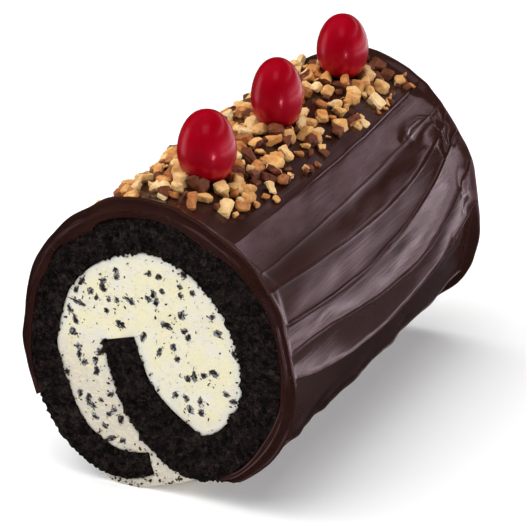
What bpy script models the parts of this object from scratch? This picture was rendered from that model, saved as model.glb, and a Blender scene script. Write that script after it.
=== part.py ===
"""Swiss roll: a dark chocolate sponge rolled round speckled cream and coated in chocolate,
with a band of chopped nuts and three cherries along its top.

Metres, +Z up. The roll lies along Y with its front cut face towards -Y. The origin is on
the ground, below the middle of the object. Sizes are given in millimetres, times MM.
Angles go round the roll in degrees: 0 is its +X side, 90 its top, 180 its -X side.
"""

import functools
import itertools
import math
import random

import bmesh
import bpy
import numpy as np
from mathutils import Euler, Matrix, Vector, geometry

MM = 0.001

# Driving dimensions, in millimetres.
LENGTH = 160.0  # between the two cut faces of the sponge
AXIS_HEIGHT = 51.5  # the roll's middle above the ground
AXIS_X = -0.35  # the roll's middle beside the middle of the whole
GAP = 0.3  # between pieces that touch

# The sponge is one strip. Its ring runs clockwise from the outer end under the roll:
# angle, radius of its middle line, thickness.
SPONGE_RING = [
    (266, 41.8, 7.6),
    (253, 46.1, 10.0),
    (240, 47.5, 10.9),
    (225, 46.8, 11.1),
    (210, 44.5, 11.7),
    (195, 42.9, 10.4),
    (180, 41.7, 9.2),
    (150, 41.5, 10.6),
    (120, 41.0, 12.0),
    (90, 40.5, 12.2),
    (60, 37.8, 13.6),
    (30, 37.2, 15.4),
    (0, 37.3, 14.2),
    (-22, 38.8, 13.4),
    (-45, 39.6, 13.6),
    (-62, 39.4, 15.4),
]
# Its tail turns in from there: x, z of its middle line, thickness.
SPONGE_TAIL = [
    (11.2, -34.6, 17.4),
    (4.0, -30.4, 17.6),
    (-2.0, -25.0, 16.4),
    (-6.5, -19.3, 14.8),
    (-9.6, -13.4, 13.4),
    (-12.2, -6.4, 12.6),
    (-14.5, 2.0, 11.8),
]
STRIP_STATIONS = 66

# The cream that squeezes out of the seam and carries the roll: where it leaves the sponge,
# and the low curve between, as x, z from the roll's middle. It is wider behind the faces.
OOZE_RIGHT = (12.8, -45.0)
OOZE_LEFT = (-21.6, -49.4)
OOZE_AT_FACE = [
    (8.0, -46.4),
    (4.0, -47.4),
    (-0.5, -49.0),
    (-4.5, -50.5),
    (-8.0, -51.4),
    (-14.0, -51.5),
    (-19.0, -50.6),
]
OOZE_INSIDE = [
    (12.0, -47.4),
    (10.6, -49.4),
    (8.2, -50.9),
    (5.0, -51.5),
    (-6.0, -51.5),
    (-15.0, -51.5),
    (-19.5, -50.7),
]
OOZE_STATIONS = [(0.0, 0.0), (4.0, 0.3), (12.0, 1.0)]  # behind a face, share of the widening

# The coating's thickness over the sponge: angle, thickness.
COATING_RIGHT = -61.0
COATING_LEFT = 208.0
COATING = [
    (COATING_RIGHT, 1.3),
    (-52, 3.6),
    (-30, 5.2),
    (0, 4.8),
    (30, 4.6),
    (55, 5.8),
    (78, 6.4),
    (92, 5.8),
    (106, 4.0),
    (118, 2.7),
    (135, 2.3),
    (180, 2.3),
    (195, 1.8),
    (COATING_LEFT, 1.1),
]
# Spatula strokes run along the roll between these ridges: the ridge's angle at the front
# face, at one third, at two thirds and at the back face, and the stroke above it as its
# hollow's share of its width and where across it the hollow is deepest, as a share.
RIDGES = [
    ((COATING_RIGHT, -57, -62, -57), 0.05, 0.5),
    ((-35, -38, -36, -30), 0.06, 0.5),
    ((1, -12, -11, 4), 0.055, 0.5),
    ((9.5, 4, 1, 22), 0.05, 0.4),
    ((22, 16, 19.5, 36), 0.04, 0.4),
    ((35.5, 31, 31, 44), 0.08, 0.60),
    ((43, 43, 45, 49), 0.04, 0.5),
    ((58, 57, 58, 61), 0.03, 0.5),
    ((82, 81, 82, 80), 0.02, 0.5),
    ((106, 107, 105, 103), 0.03, 0.5),
    ((122, 126, 123, 116), 0.07, 0.5),
    ((136, 143, 140, 127), 0.09, 0.5),
    ((151, 158, 154, 142), 0.07, 0.5),
    ((167, 175, 172, 160), 0.06, 0.5),
    ((184, 190, 189, 180), 0.05, 0.5),
    ((COATING_LEFT, 212, 206, 205), 0.0, 0.5),
]
STROKE_ROWS = (0.0, 0.14, 0.5, 0.84)  # shares of a stroke's width with a row of points
WIDE_STROKE_ROWS = (0.0, 0.08, 0.31, 0.54, 0.77, 0.93)
WIDE_STROKE = 18.0  # angle
RIDGE_RISE = 0.7  # how far a ridge stands above the surface
RIDGE_WIDTH = 0.8
SHINGLE = 0.7  # a stroke's lower side stands out over the next one's upper side
SIDE_ROWS = 19
INNER_ROWS = 8

# The lip of the coating round each cut face.
LIP_REACH = 1.4  # how far it stands out past the sponge
LIP_SHARES = (0.0, 0.22, 0.6, 0.92)  # shares of the coating's thickness with a row
LIP_RISE = [  # how far it stands above the strokes in front: angle, rise
    (COATING_RIGHT, 0.5),
    (-29, 1.3),
    (-8, 1.2),
    (10, 0.4),
    (35, 0.7),
    (75, 0.6),
    (90, 1.3),
    (108, 3.9),
    (124, 3.4),
    (137, 2.5),
    (152, 2.2),
    (166, 1.7),
    (180, 0.8),
    (COATING_LEFT, 0.3),
]
LIP_RISE_BEHIND = [  # and at the back
    (COATING_RIGHT, 0.9),
    (-32, 2.4),
    (-16, 2.0),
    (4, 0.9),
    (40, 0.9),
    (60, 2.7),
    (84, 2.7),
    (104, 1.2),
    (COATING_LEFT, 0.6),
]
LIP_WIDTH = 3.4
LIP_FLARE = (35.0, 9.0, 5.0)  # where a stroke pulls it back: angle, spread, reach

# Cherries on top: distance of each behind the front face, width, height.
CHERRIES = [(27.0, 19.7, 25.2), (81.0, 18.1, 25.4), (136.0, 18.7, 24.0)]
CHERRY_X = 5.6
CHERRY_SINK = 0.9  # how deep a cherry sits in the coating
CHERRY_SEGMENTS = 18
CHERRY_RINGS = 10
CHERRY_EGG = 0.09  # how much narrower its top is than its foot
CHERRY_FULLNESS = 0.86  # below 1, its top and foot are blunter than an egg's

# Chopped nuts.
NUT_SEED = 11
NUT_COUNT = 150
NUT_TRIES = 16000
NUT_CORNERS = 7  # of the eight of a block
NUT_BAND = (65.0, 118.0)  # angles
NUT_END_MARGIN = 5.0
NUT_END_SLANT = 0.28  # more of it in front for each degree to the right of the top
NUT_LENGTH = (4.6, 8.4)
NUT_WIDTH = (3.6, 5.6)
NUT_HEIGHT = (3.0, 4.8)
NUT_SPACING = 0.62  # smallest distance between two, in lengths
NUT_CHIP = (0.74, 1.0)  # how far its corners are chipped back, as shares
NUT_SINK = 0.22  # share of its height in the coating
NUT_TILT = 26.0

COLOURS = {
    "sponge": ((0.018, 0.011, 0.009), 0.95),
    "cream": ((0.84, 0.78, 0.62), 0.55),
    "chocolate": ((0.050, 0.022, 0.018), 0.32),
    "cherry": ((0.52, 0.003, 0.010), 0.12),
    "nut": ((0.62, 0.40, 0.17), 0.55),
}


def clear_scene():
    for obj in list(bpy.data.objects):
        bpy.data.objects.remove(obj)


@functools.cache
def material(name):
    colour, roughness = COLOURS[name]
    made = bpy.data.materials.new(name)
    made.use_nodes = True
    shader = made.node_tree.nodes["Principled BSDF"]
    shader.inputs["Base Color"].default_value = (*colour, 1.0)
    shader.inputs["Roughness"].default_value = roughness
    shader.inputs["Metallic"].default_value = 0.0
    return made


def place(x, y, z):
    """A point beside the roll's middle and behind its front face, in the object's frame."""
    return Vector((x + AXIS_X, y - LENGTH / 2, z + AXIS_HEIGHT)) * MM


def polar(angle, radius):
    return np.array([math.cos(math.radians(angle)), math.sin(math.radians(angle))]) * radius


def mesh_object(name, points, faces, *materials):
    """A closed mesh with its normals out."""
    mesh = bpy.data.meshes.new(name)
    mesh.from_pydata([tuple(p) for p in points], [], faces)
    work = bmesh.new()
    work.from_mesh(mesh)
    bmesh.ops.triangulate(work, faces=work.faces)
    bmesh.ops.recalc_face_normals(work, faces=work.faces)
    work.to_mesh(mesh)
    work.free()
    for one in materials:
        mesh.materials.append(one)
    obj = bpy.data.objects.new(name, mesh)
    bpy.context.scene.collection.objects.link(obj)
    return obj


def smooth_line(stations, count):
    """A Catmull-Rom curve through the stations, as evenly spaced rows."""
    stations = np.array(stations, float)
    ends = [2 * stations[0] - stations[1], *stations, 2 * stations[-1] - stations[-2]]
    rows = []
    for a, b, c, d in zip(ends, ends[1:], ends[2:], ends[3:]):
        t = np.linspace(0, 1, 24, endpoint=False)[:, None]
        rows.append(
            b
            + t * (c - a) / 2
            + t**2 * (2 * a - 5 * b + 4 * c - d) / 2
            + t**3 * (3 * b - a - 3 * c + d) / 2
        )
    dense = np.vstack([*rows, stations[-1:]])
    steps = np.linalg.norm(np.diff(dense[:, :2], axis=0), axis=1)
    along = np.concatenate([[0], np.cumsum(steps)])
    wanted = np.linspace(0, along[-1], count)
    return np.stack([np.interp(wanted, along, column) for column in dense.T], axis=1)


def sponge_strip():
    """The strip's middle line, its outward normals and its half thickness."""
    ring = [(*polar(angle, radius), thickness) for angle, radius, thickness in SPONGE_RING]
    line = smooth_line(ring + SPONGE_TAIL, STRIP_STATIONS)
    middle, half = line[:, :2], line[:, 2] / 2
    ahead = np.gradient(middle, axis=0)
    ahead /= np.linalg.norm(ahead, axis=1)[:, None]
    outward = np.stack([-ahead[:, 1], ahead[:, 0]], axis=1)
    return middle, ahead, outward, half


def strip_sides(clearance=0.0):
    """The strip's outer and inner side, with its two ends, moved out by the clearance."""
    middle, ahead, outward, half = sponge_strip()
    middle = middle.copy()
    middle[0] -= ahead[0] * clearance
    middle[-1] += ahead[-1] * clearance
    reach = (half + clearance)[:, None]
    return middle + outward * reach, middle - outward * reach


def sweep(name, outlines, *materials):
    """A closed solid through cross-sections with equal counts of points: y and outline of each."""
    count = len(outlines[0][1])
    points = [place(x, y, z) for y, outline in outlines for x, z in outline]
    faces = []
    for i in range(len(outlines) - 1):
        for j in range(count):
            k = (j + 1) % count
            faces.append((i * count + j, i * count + k, (i + 1) * count + k, (i + 1) * count + j))
    for first, outline in ((0, outlines[0][1]), (len(points) - count, outlines[-1][1])):
        flat = [Vector((x, z, 0)) for x, z in outline]
        faces += [tuple(first + i for i in t) for t in geometry.tessellate_polygon([flat])]
    return mesh_object(name, points, faces, *materials)


def make_sponge():
    outer, inner = strip_sides()
    outline = np.vstack([outer, inner[::-1]])
    return sweep("sponge", [(0, outline), (LENGTH, outline)], material("sponge"))


def nearest(rows, point, first, last):
    """Index of the row from first to last that lies nearest to the point."""
    return first + int(np.argmin(np.linalg.norm(rows[first:last] - point, axis=1)))


def filling_outline(widening):
    """Inside the ring, round the tail, out of the seam, and under the outer end."""
    outer, inner = strip_sides(GAP)
    half_way = STRIP_STATIONS // 2
    leaves = nearest(outer, OOZE_RIGHT, half_way, STRIP_STATIONS)
    returns = nearest(outer, OOZE_LEFT, 0, half_way)
    low = np.array(OOZE_AT_FACE) * (1 - widening) + np.array(OOZE_INSIDE) * widening
    return np.vstack([inner, outer[leaves:][::-1], low, outer[: returns + 1][::-1]])


def make_filling():
    front = [(y, filling_outline(widening)) for y, widening in OOZE_STATIONS]
    back = [(LENGTH - y, outline) for y, outline in reversed(front)]
    return sweep("filling", front + back, material("cream"))


@functools.cache
def ring_table():
    """Angles round the sponge's outer side, rising, and how far it is from the roll's middle."""
    outer, _ = strip_sides()
    ring = outer[: nearest(outer, OOZE_RIGHT, STRIP_STATIONS // 2, STRIP_STATIONS)][::-1]
    around = np.degrees(np.unwrap(np.arctan2(ring[:, 1], ring[:, 0])))
    around += 360 * round((90 - around.mean()) / 360)
    return around, np.linalg.norm(ring, axis=1)


def sponge_radius(angle):
    return float(np.interp(angle, *ring_table()))


def eased(angle, stations):
    """Eases between the values of two neighbouring stations."""
    for (a, low), (b, high) in zip(stations, stations[1:]):
        if angle <= b:
            share = max(0.0, (angle - a) / (b - a))
            return low + (high - low) * share * share * (3 - 2 * share)
    return stations[-1][1]


def step_up(value, low, high):
    """0 below low, 1 above high, and smooth between them."""
    share = min(1.0, max(0.0, (value - low) / (high - low)))
    return share * share * (3 - 2 * share)


def ridge_angle(ridge, y):
    """A smooth curve through the ridge's four angles."""
    front, third, two_thirds, back = ridge[0]
    t = 3 * y / LENGTH
    bend = front - 2 * third + two_thirds
    twist = back - 3 * two_thirds + 3 * third - front
    return front + t * (third - front) + t * (t - 1) / 2 * bend + t * (t - 1) * (t - 2) / 6 * twist


def bowl(share, deepest):
    """Depth across a hollow, as a share of its deepest."""
    low, high = 2 * deepest, 2 - 2 * deepest
    return (share / deepest) ** low * ((1 - share) / (1 - deepest)) ** high


def stroke_height(ridge, share, width, y):
    """Height of the surface across a stroke, from the ridge below it to the one above."""
    _, hollow, deepest = ridge
    wide = min(1.0, width / 8)
    to_ridge = min(share, 1 - share) * width / RIDGE_WIDTH
    height = -hollow * width * bowl(share, deepest)
    height += SHINGLE * wide * (0.5 - share)
    height += RIDGE_RISE * wide * math.exp(-(to_ridge**2))
    return height * step_up(y, 1, 7) * step_up(LENGTH - y, 1, 7)


def lip_rise(angle, y):
    """Height of the raised lip at each end, above the strokes."""
    at, spread, reach = LIP_FLARE
    flare = reach * math.exp(-(((angle - at) / spread) ** 2))
    front = eased(angle, LIP_RISE) * math.exp(-((max(0.0, y - flare) / LIP_WIDTH) ** 2))
    back = eased(angle, LIP_RISE_BEHIND) * math.exp(-(((LENGTH - y) / LIP_WIDTH) ** 2))
    return front + back


def coating_radius(lower, upper, share, y):
    """Outer radius of the coating, where share of a stroke's width lies below the point."""
    low, high = ridge_angle(lower, y), ridge_angle(upper, y)
    angle = low * (1 - share) + high * share
    thickness = eased(angle, COATING)
    width = math.radians(high - low) * (sponge_radius(angle) + thickness)
    relief = stroke_height(lower, share, width, y) * min(1.0, thickness / 4)
    return sponge_radius(angle) + thickness + relief + lip_rise(angle, y)


def coating_loop(lower, upper, share):
    """Points once round the coating's section at one station: front lip, side, back lip, inside."""
    side_rows = np.linspace(0, LENGTH, SIDE_ROWS)
    side_rows = LENGTH * (0.5 - 0.5 * np.cos(np.pi * side_rows / LENGTH)) * 0.4 + side_rows * 0.6

    def row(y, reach, part):
        angle = ridge_angle(lower, y) * (1 - share) + ridge_angle(upper, y) * share
        inside = sponge_radius(angle) + GAP
        outside = coating_radius(lower, upper, share, y)
        return angle, inside + (outside - inside) * part, y + reach

    bulge = [LIP_REACH * math.sin(math.pi * part) ** 0.6 for part in LIP_SHARES]
    front = [row(0, -reach, part) for part, reach in zip(LIP_SHARES, bulge)]
    side = [row(y, 0, 1.0) for y in side_rows]
    back = [row(LENGTH, reach, part) for part, reach in zip(LIP_SHARES, bulge)][::-1]
    inner_rows = np.linspace(LENGTH, 0, INNER_ROWS + 1)[1:-1]
    return front + side + back + [row(y, 0, 0.0) for y in inner_rows]


def make_coating():
    loops = []
    for lower, upper in zip(RIDGES, RIDGES[1:]):
        wide = upper[0][0] - lower[0][0] > WIDE_STROKE
        shares = WIDE_STROKE_ROWS if wide else STROKE_ROWS
        loops += [coating_loop(lower, upper, share) for share in shares]
    loops.append(coating_loop(RIDGES[-2], RIDGES[-1], 1.0))
    count = len(loops[0])
    points = []
    for loop in loops:
        for angle, radius, y in loop:
            x, z = polar(angle, radius)
            points.append(place(x, y, z))
    faces = []
    for i in range(len(loops) - 1):
        for j in range(count):
            k = (j + 1) % count
            faces.append((i * count + j, i * count + k, (i + 1) * count + k, (i + 1) * count + j))
    for first, loop in ((0, loops[0]), ((len(loops) - 1) * count, loops[-1])):
        flat = [Vector((y, radius, 0)) for _, radius, y in loop]
        faces += [tuple(first + i for i in t) for t in geometry.tessellate_polygon([flat])]
    return mesh_object("frosting", points, faces, material("chocolate"), material("nut"))


def surface_radius(angle, y):
    """Outer radius of the coating at any point of its side."""
    for lower, upper in zip(RIDGES, RIDGES[1:]):
        low, high = ridge_angle(lower, y), ridge_angle(upper, y)
        if angle <= high:
            share = max(0.0, (angle - low) / (high - low))
            return coating_radius(lower, upper, share, y)
    return coating_radius(RIDGES[-2], RIDGES[-1], 1.0, y)


def cherry_middle(y, height):
    """Where a cherry's middle is: x, y and z from the roll's middle and its front face."""
    angle = 90 - math.degrees(math.asin(CHERRY_X / 53))
    top = surface_radius(angle, y) * math.sin(math.radians(angle))
    return CHERRY_X, y, top - CHERRY_SINK + height / 2


def cherry_points(y, width, height, clearance=0.0):
    """Rings of an egg shape that stands on its wide end, and its two poles."""
    x, y, z = cherry_middle(y, height)
    rings = []
    for i in range(1, CHERRY_RINGS):
        polar_angle = math.pi * i / CHERRY_RINGS
        up = math.cos(polar_angle)
        full = math.sin(polar_angle) ** CHERRY_FULLNESS
        radius = (width / 2) * full * (1 - CHERRY_EGG * up) + clearance
        for j in range(CHERRY_SEGMENTS):
            turn = 2 * math.pi * j / CHERRY_SEGMENTS
            rings.append(
                place(
                    x + radius * math.cos(turn),
                    y + radius * math.sin(turn),
                    z + up * (height / 2 + clearance),
                )
            )
    reach = height / 2 + clearance
    return [place(x, y, z + reach), *rings, place(x, y, z - reach)]


def make_cherry(name, y, width, height, clearance=0.0):
    points = cherry_points(y, width, height, clearance)
    count, last = CHERRY_SEGMENTS, len(points) - 1
    faces = []
    for j in range(count):
        k = (j + 1) % count
        faces.append((0, 1 + j, 1 + k))
        faces.append((last, last - count + k, last - count + j))
        for i in range(CHERRY_RINGS - 2):
            low, high = 1 + i * count, 1 + (i + 1) * count
            faces.append((low + j, high + j, high + k, low + k))
    return mesh_object(name, points, faces, material("cherry"))


def clear_of_cherries(corners):
    """True if no corner of a nut is in or right beside a cherry."""
    for y, width, height in CHERRIES:
        middle = place(*cherry_middle(y, height))
        wide = (width / 2 * (1.04 + CHERRY_EGG / 2) + 2 * GAP) * MM
        tall = (height / 2 + 2 * GAP) * MM
        for corner in corners:
            away = corner - middle
            if (away.x**2 + away.y**2) / wide**2 + away.z**2 / tall**2 < 1:
                return False
    return True


def clear_of_sponge(corner):
    """The corner, moved out into the coating where it would reach the sponge."""
    across = Vector((corner.x / MM - AXIS_X, corner.z / MM - AXIS_HEIGHT))
    least = sponge_radius(math.degrees(math.atan2(across.y, across.x))) + 3 * GAP
    if across.length < least:
        across *= least / across.length
    return Vector(((across.x + AXIS_X) * MM, corner.y, (across.y + AXIS_HEIGHT) * MM))


def nut_corners(draw, angle, y, size):
    """Corners of one chopped piece that lies on the coating."""
    x, z = polar(angle, surface_radius(angle, y) + size[2] * (0.5 - NUT_SINK))
    turn = Euler(
        (
            math.radians(draw.uniform(-NUT_TILT, NUT_TILT)),
            math.radians(draw.uniform(-NUT_TILT, NUT_TILT) + 90 - angle),
            0,
        )
    ).to_matrix()
    turn = turn @ Matrix.Rotation(draw.uniform(0, 2 * math.pi), 3, "Z")
    corners = []
    for sides in draw.sample(list(itertools.product((-1, 1), repeat=3)), NUT_CORNERS):
        reach = [side * edge / 2 * draw.uniform(*NUT_CHIP) for side, edge in zip(sides, size)]
        corners.append(clear_of_sponge(place(x, y, z) + turn @ Vector(reach) * MM))
    return corners


def scattered_nuts():
    """Corner lists of all nuts: drawn at random over the band, no two too close."""
    draw = random.Random(NUT_SEED)
    taken, found = [], []
    for _ in range(NUT_TRIES):
        if len(found) == NUT_COUNT:
            break
        angle = draw.uniform(*NUT_BAND)
        y = draw.uniform(NUT_END_MARGIN, LENGTH - NUT_END_MARGIN)
        if y < NUT_END_MARGIN + NUT_END_SLANT * (90 - angle):
            continue
        size = draw.uniform(*NUT_LENGTH), draw.uniform(*NUT_WIDTH), draw.uniform(*NUT_HEIGHT)
        along = math.radians(angle) * surface_radius(90, LENGTH / 2)
        near = [math.hypot(along - a, y - b) < NUT_SPACING * (size[0] + s) / 2 for a, b, s in taken]
        if any(near):
            continue
        corners = nut_corners(draw, angle, y, size)
        if clear_of_cherries(corners):
            taken.append((along, y, size[0]))
            found.append(corners)
    return found


def nut_object(name, corners, *materials):
    work = bmesh.new()
    for corner in corners:
        work.verts.new(corner)
    hull = bmesh.ops.convex_hull(work, input=work.verts)
    spare = set(hull["geom_interior"]) | set(hull["geom_unused"])
    bmesh.ops.delete(work, geom=[v for v in spare if v.is_valid], context="VERTS")
    bmesh.ops.recalc_face_normals(work, faces=work.faces)
    for face in work.faces:
        face.material_index = len(materials) - 1
    mesh = bpy.data.meshes.new(name)
    work.to_mesh(mesh)
    work.free()
    for one in materials:
        mesh.materials.append(one)
    return bpy.data.objects.new(name, mesh)


def apply_boolean(obj, operation, pieces):
    """Joins the pieces to obj, or cuts them from it, and removes them."""
    group = bpy.data.collections.new("operands")
    bpy.context.scene.collection.children.link(group)
    for piece in pieces:
        for holder in list(piece.users_collection):
            holder.objects.unlink(piece)
        group.objects.link(piece)
    change = obj.modifiers.new(operation, "BOOLEAN")
    change.operation = operation
    change.operand_type = "COLLECTION"
    change.collection = group
    change.solver = "MANIFOLD"
    bpy.context.view_layer.update()
    evaluated = obj.evaluated_get(bpy.context.evaluated_depsgraph_get())
    mesh = bpy.data.meshes.new_from_object(evaluated)
    obj.modifiers.clear()
    obj.data = mesh
    for piece in pieces:
        bpy.data.objects.remove(piece)
    bpy.data.collections.remove(group)


def keep_largest_shell(obj):
    """Drops the small closed pockets that are left between nuts."""
    work = bmesh.new()
    work.from_mesh(obj.data)
    left, shells = set(work.verts), []
    while left:
        shell, edge = set(), {left.pop()}
        while edge:
            shell |= edge
            edge = {e.other_vert(v) for v in edge for e in v.link_edges} - shell
        left -= shell
        shells.append(shell)
    shells.sort(key=len)
    for shell in shells[:-1]:
        bmesh.ops.delete(work, geom=list(shell), context="VERTS")
    work.to_mesh(obj.data)
    work.free()


def make_frosting():
    """The coating with its nuts fused on and a seat cut for each cherry."""
    coating = make_coating()
    kinds = material("chocolate"), material("nut")
    nuts = [nut_object("nut", corners, *kinds) for corners in scattered_nuts()]
    apply_boolean(coating, "UNION", nuts)
    seats = [make_cherry("seat", *cherry, clearance=GAP) for cherry in CHERRIES]
    apply_boolean(coating, "DIFFERENCE", seats)
    keep_largest_shell(coating)
    return coating


def build():
    clear_scene()
    make_sponge()
    make_filling()
    make_frosting()
    for number, cherry in enumerate(CHERRIES, 1):
        make_cherry(f"cherry_{number}", *cherry).data.shade_smooth()


build()
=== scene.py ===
"""The looks of the swiss roll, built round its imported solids.

The roll lies along Y with its front cut face towards -Y. Sizes are in millimetres, times MM, and
places are given from the roll's axis: x and z from the axis, y behind the front cut face. Angles
go round the roll in degrees: 0 is its +X side, 90 its top, 180 its -X side.
"""

import functools
import itertools
import math
import random

import bmesh
import bpy
import numpy as np
from mathutils import Euler, Matrix, Vector, geometry


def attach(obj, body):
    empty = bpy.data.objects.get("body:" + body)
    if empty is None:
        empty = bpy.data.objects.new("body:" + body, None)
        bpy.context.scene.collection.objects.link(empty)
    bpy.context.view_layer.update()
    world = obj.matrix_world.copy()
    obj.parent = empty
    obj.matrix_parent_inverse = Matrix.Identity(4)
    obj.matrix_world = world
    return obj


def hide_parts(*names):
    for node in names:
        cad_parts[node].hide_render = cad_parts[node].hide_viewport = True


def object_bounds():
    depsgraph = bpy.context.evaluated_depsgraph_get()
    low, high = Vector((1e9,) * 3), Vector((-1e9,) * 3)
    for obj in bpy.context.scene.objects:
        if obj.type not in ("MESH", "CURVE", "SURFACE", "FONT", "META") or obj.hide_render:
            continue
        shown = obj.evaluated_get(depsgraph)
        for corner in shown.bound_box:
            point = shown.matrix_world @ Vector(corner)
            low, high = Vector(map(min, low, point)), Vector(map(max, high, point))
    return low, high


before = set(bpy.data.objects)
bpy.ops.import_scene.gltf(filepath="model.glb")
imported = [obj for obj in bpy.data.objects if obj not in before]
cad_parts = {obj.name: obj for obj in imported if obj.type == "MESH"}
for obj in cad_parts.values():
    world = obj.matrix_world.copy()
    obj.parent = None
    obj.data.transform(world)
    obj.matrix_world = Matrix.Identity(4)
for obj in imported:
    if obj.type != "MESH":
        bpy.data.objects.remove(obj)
cad_low, cad_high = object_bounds()

MM = 0.001

# The camera looks at a point, given as the roll's places are, from a distance. Its azimuth
# and elevation are in degrees, and its lens and sensor as a real camera's.
CAMERA_AIM = (26.48, 25.35, 26.91)
CAMERA_AZIMUTH = 25.17
CAMERA_ELEVATION = 23.50
CAMERA_DISTANCE = 991.3
CAMERA_LENS = 208.1
CAMERA_SENSOR = 36.0

# Driving dimensions, as in the solids.
LENGTH = 160.0  # between the sponge's cut faces
AXIS_HEIGHT = 51.5
AXIS_X = -0.35
GAP = 0.3  # left between two solids
# Rough radii, for distances round the roll.
SPONGE_REACH = 50.0
COATING_REACH = 51.0
TOP_REACH = 53.0

# The sponge is one strip. Its ring runs clockwise from the outer end under the roll:
# angle, radius of its middle line, thickness.
SPONGE_RING = [
    (266, 41.8, 7.6), (253, 46.1, 10.0), (240, 47.5, 10.9), (225, 46.8, 11.1),
    (210, 44.5, 11.7), (195, 42.9, 10.4), (180, 41.7, 9.2), (150, 41.5, 10.6),
    (120, 41.0, 12.0), (90, 40.5, 12.2), (60, 37.8, 13.6), (30, 37.2, 15.4),
    (0, 37.3, 14.2), (-22, 38.8, 13.4), (-45, 39.6, 13.6), (-62, 39.4, 15.4),
]
# Its tail turns in from there: x, z of its middle line, thickness.
SPONGE_TAIL = [
    (11.2, -34.6, 17.4), (4.0, -30.4, 17.6), (-2.0, -25.0, 16.4), (-6.5, -19.3, 14.8),
    (-9.6, -13.4, 13.4), (-12.2, -6.4, 12.6), (-14.5, 2.0, 11.8),
]
STRIP_STATIONS = 900
STRIP_ROWS = 26  # across the strip on a cut face
STRIP_ROUND = 0.4  # how much closer those rows are at its sides
STRIP_EDGE = 1.2  # how far in from its sides a cut face changes
SKIN_ROWS = (0.9, 2.4, 5.0)  # along the roll: apart near an end, apart between, how near
INNER_ROWS = (0.4, 1.2, 2.4, 5.0, 30.0, 80.0)  # distances from an end
CRUMBS = [(0.15, 2.8), (0.65, 1.3), (0.8, 0.75)]  # strength, size
CRUMB_CONTRAST = 0.6
CRUMB_DEPTH = 0.6  # of the sponge's cut faces
CRUMB_ROUND = 0.5  # further in at their edges
CRUMB_EDGE = 0.85  # how far crumbs stand out over the cream
CRUMB_FADE = 3.0  # how far behind a cut face they do
CRUMB_BARE = 0.9  # and on the outer side where it has no coating
BARE_OUTSIDE = (24.0, 30.0)  # below the -X side, as angles between which that starts
CREAM_ROUND_TAIL = 0.78  # share of the strip from where cream is on both of its sides

# The cream that squeezes out of the seam: x, z.
OOZE_RIGHT = (12.8, -45.0)
OOZE_LEFT = (-21.6, -49.4)
OOZE_AT_FACE = [
    (8.0, -46.4), (4.0, -47.4), (-0.5, -49.0), (-4.5, -50.5),
    (-8.0, -51.4), (-14.0, -51.5), (-19.0, -50.6),
]
OOZE_INSIDE = [
    (12.0, -47.4), (10.6, -49.4), (8.2, -50.9), (5.0, -51.5),
    (-6.0, -51.5), (-15.0, -51.5), (-19.5, -50.7),
]
OOZE_STATIONS = [(0.0, 0.0), (4.0, 0.3), (12.0, 1.0)]  # distance from a face, share of the way
OOZE_STEPS = 30  # points along the ooze's low curve
CREAM_SINK = 0.9  # of its edge on the cut faces
CREAM_STEP = 0.62  # between points on the cream's cut faces
CREAM_DEPTH = 0.45  # of the pits and lumps in them
CREAM_EDGE = 4.0  # how far in from the sponge it turns yellow
# Painted shade on the cream's cut faces: greyer and darker towards the bottom and the left.
CREAM_PAINTED_SHADE = (6.0, 34.0)  # below the axis, between which it turns grey
CREAM_PAINTED_SHADE_SLANT = 0.5  # the further, the more to the right
CREAM_PAINTED_SHADE_SHARE = 0.8

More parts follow.
